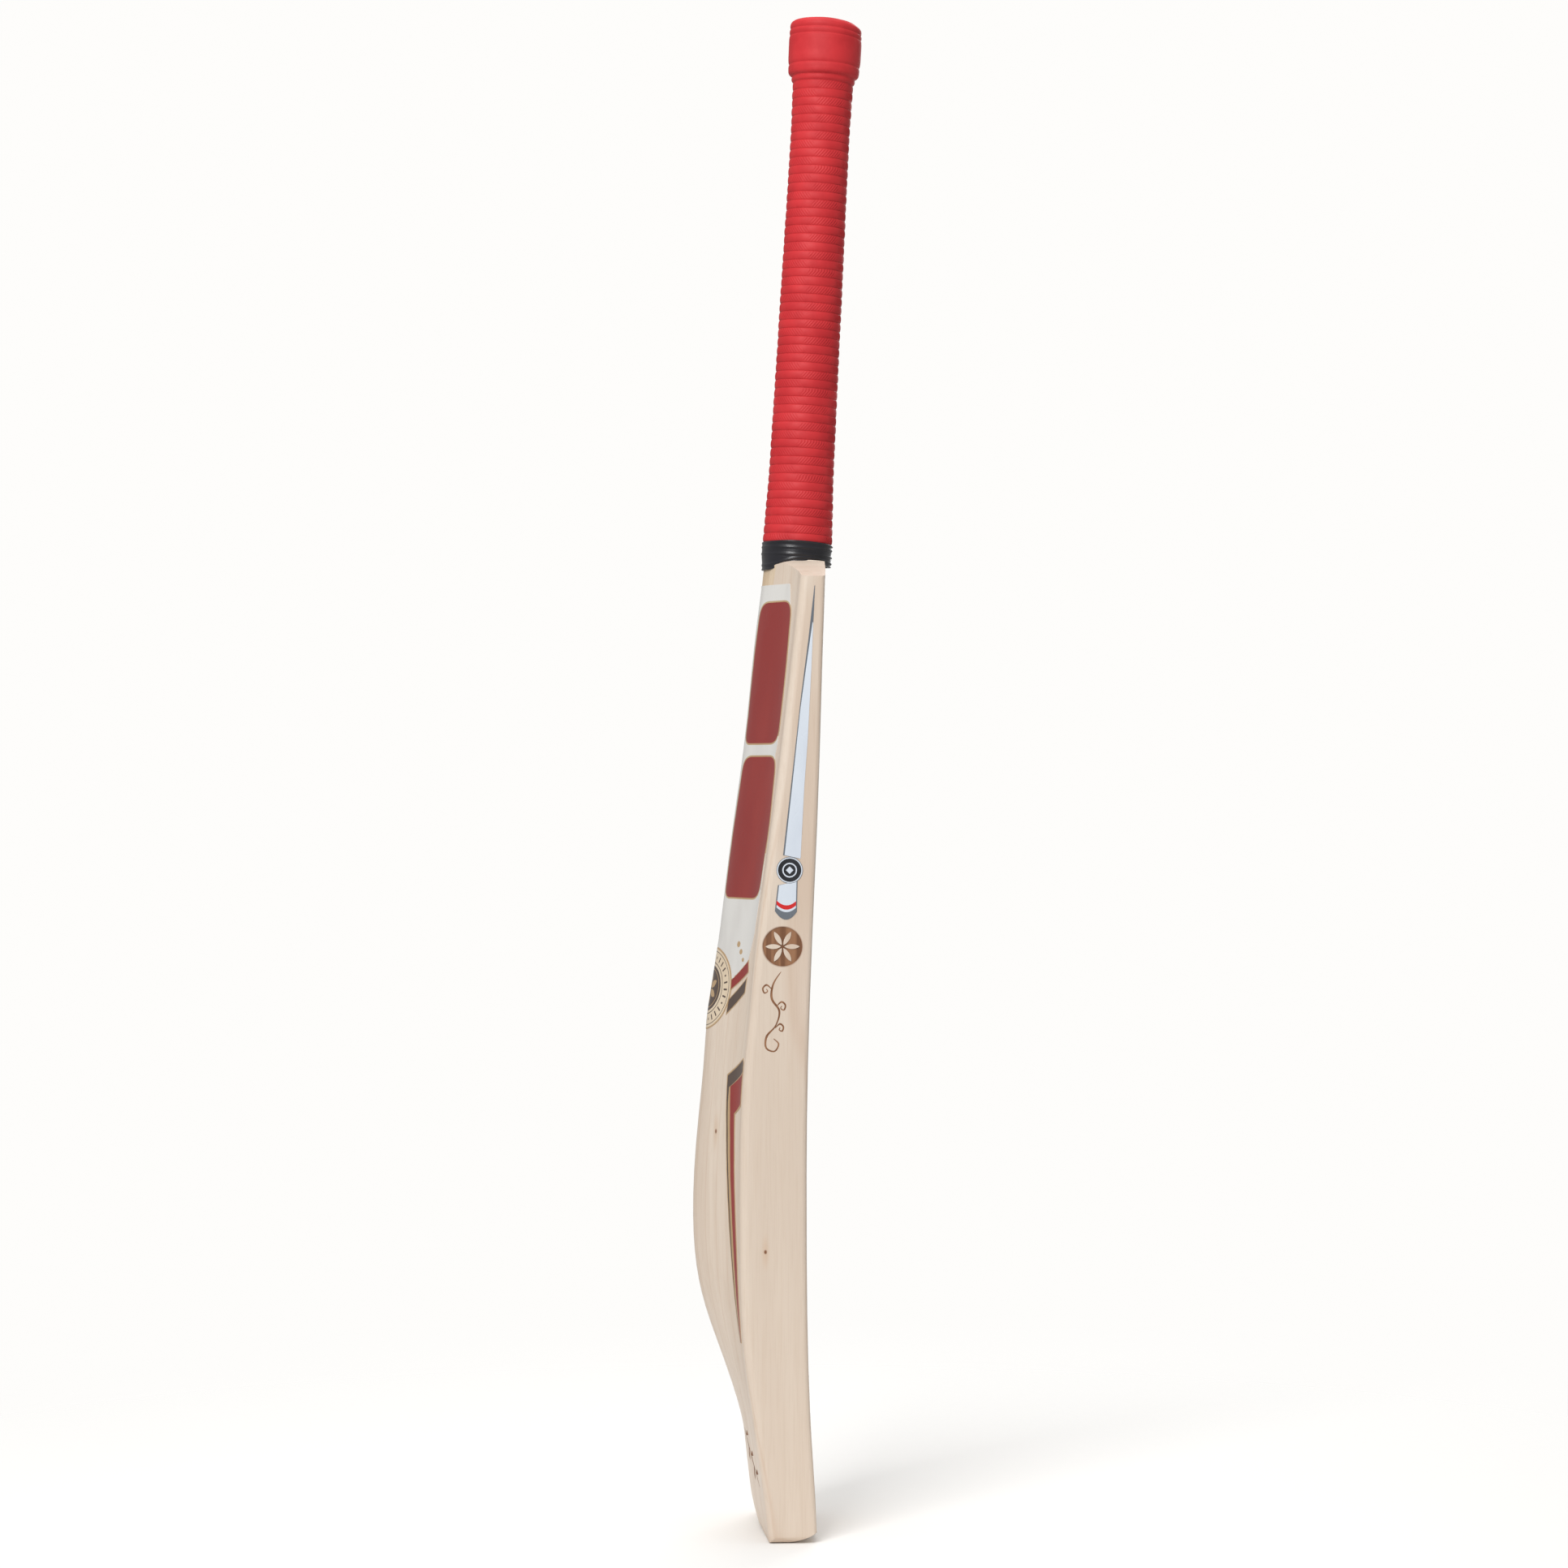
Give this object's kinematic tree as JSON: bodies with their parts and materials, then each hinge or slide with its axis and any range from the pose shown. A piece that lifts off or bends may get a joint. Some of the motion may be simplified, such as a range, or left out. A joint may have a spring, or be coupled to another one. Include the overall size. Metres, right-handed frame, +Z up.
{
  "type": "cricket bat",
  "caption": "Cricket bat with a flat-faced, ridge-backed willow blade and a spliced cane handle in a ribbed rubber grip.",
  "frame": {"origin": "middle of the toe's underside, on the bat's plane of symmetry and at the middle of its depth", "axes": "+Z up the bat to the handle's end, -Y out of the hitting face, +Y out of the ridged back, X across the blade"},
  "size_m": [0.1078, 0.0958, 0.85],
  "materials": {
    "willow": "satin, open grain",
    "cane": "satin",
    "insert_rubber": "matte",
    "twine": "waxed",
    "grip_rubber": "satin, ribbed",
    "black_rubber": "gloss",
    "printed_film": "printed film",
    "brown_film": "printed film",
    "red_film": "printed film"
  },
  "bodies": {
    "root": {"blade": "willow", "cane_front_left": "cane", "cane_front_middle": "cane", "cane_front_right": "cane", "cane_inner_front_left": "cane", "cane_inner_front_middle": "cane", "cane_inner_front_right": "cane", "cane_inner_back_left": "cane", "cane_inner_back_middle": "cane", "cane_inner_back_right": "cane", "cane_back_left": "cane", "cane_back_middle": "cane", "cane_back_right": "cane", "rubber_insert_front": "insert_rubber", "rubber_insert_middle": "insert_rubber", "rubber_insert_back": "insert_rubber", "twine_binding": "twine", "grip": "grip_rubber", "shoulder_collar": "black_rubber", "end_cap": "black_rubber", "back_label": "printed_film", "back_emblem": "brown_film", "back_chevrons": "brown_film", "lower_stripe_left": "red_film", "lower_stripe_right": "red_film", "edge_sticker_left": "printed_film", "edge_sticker_right": "printed_film"}
  },
  "joints": []
}
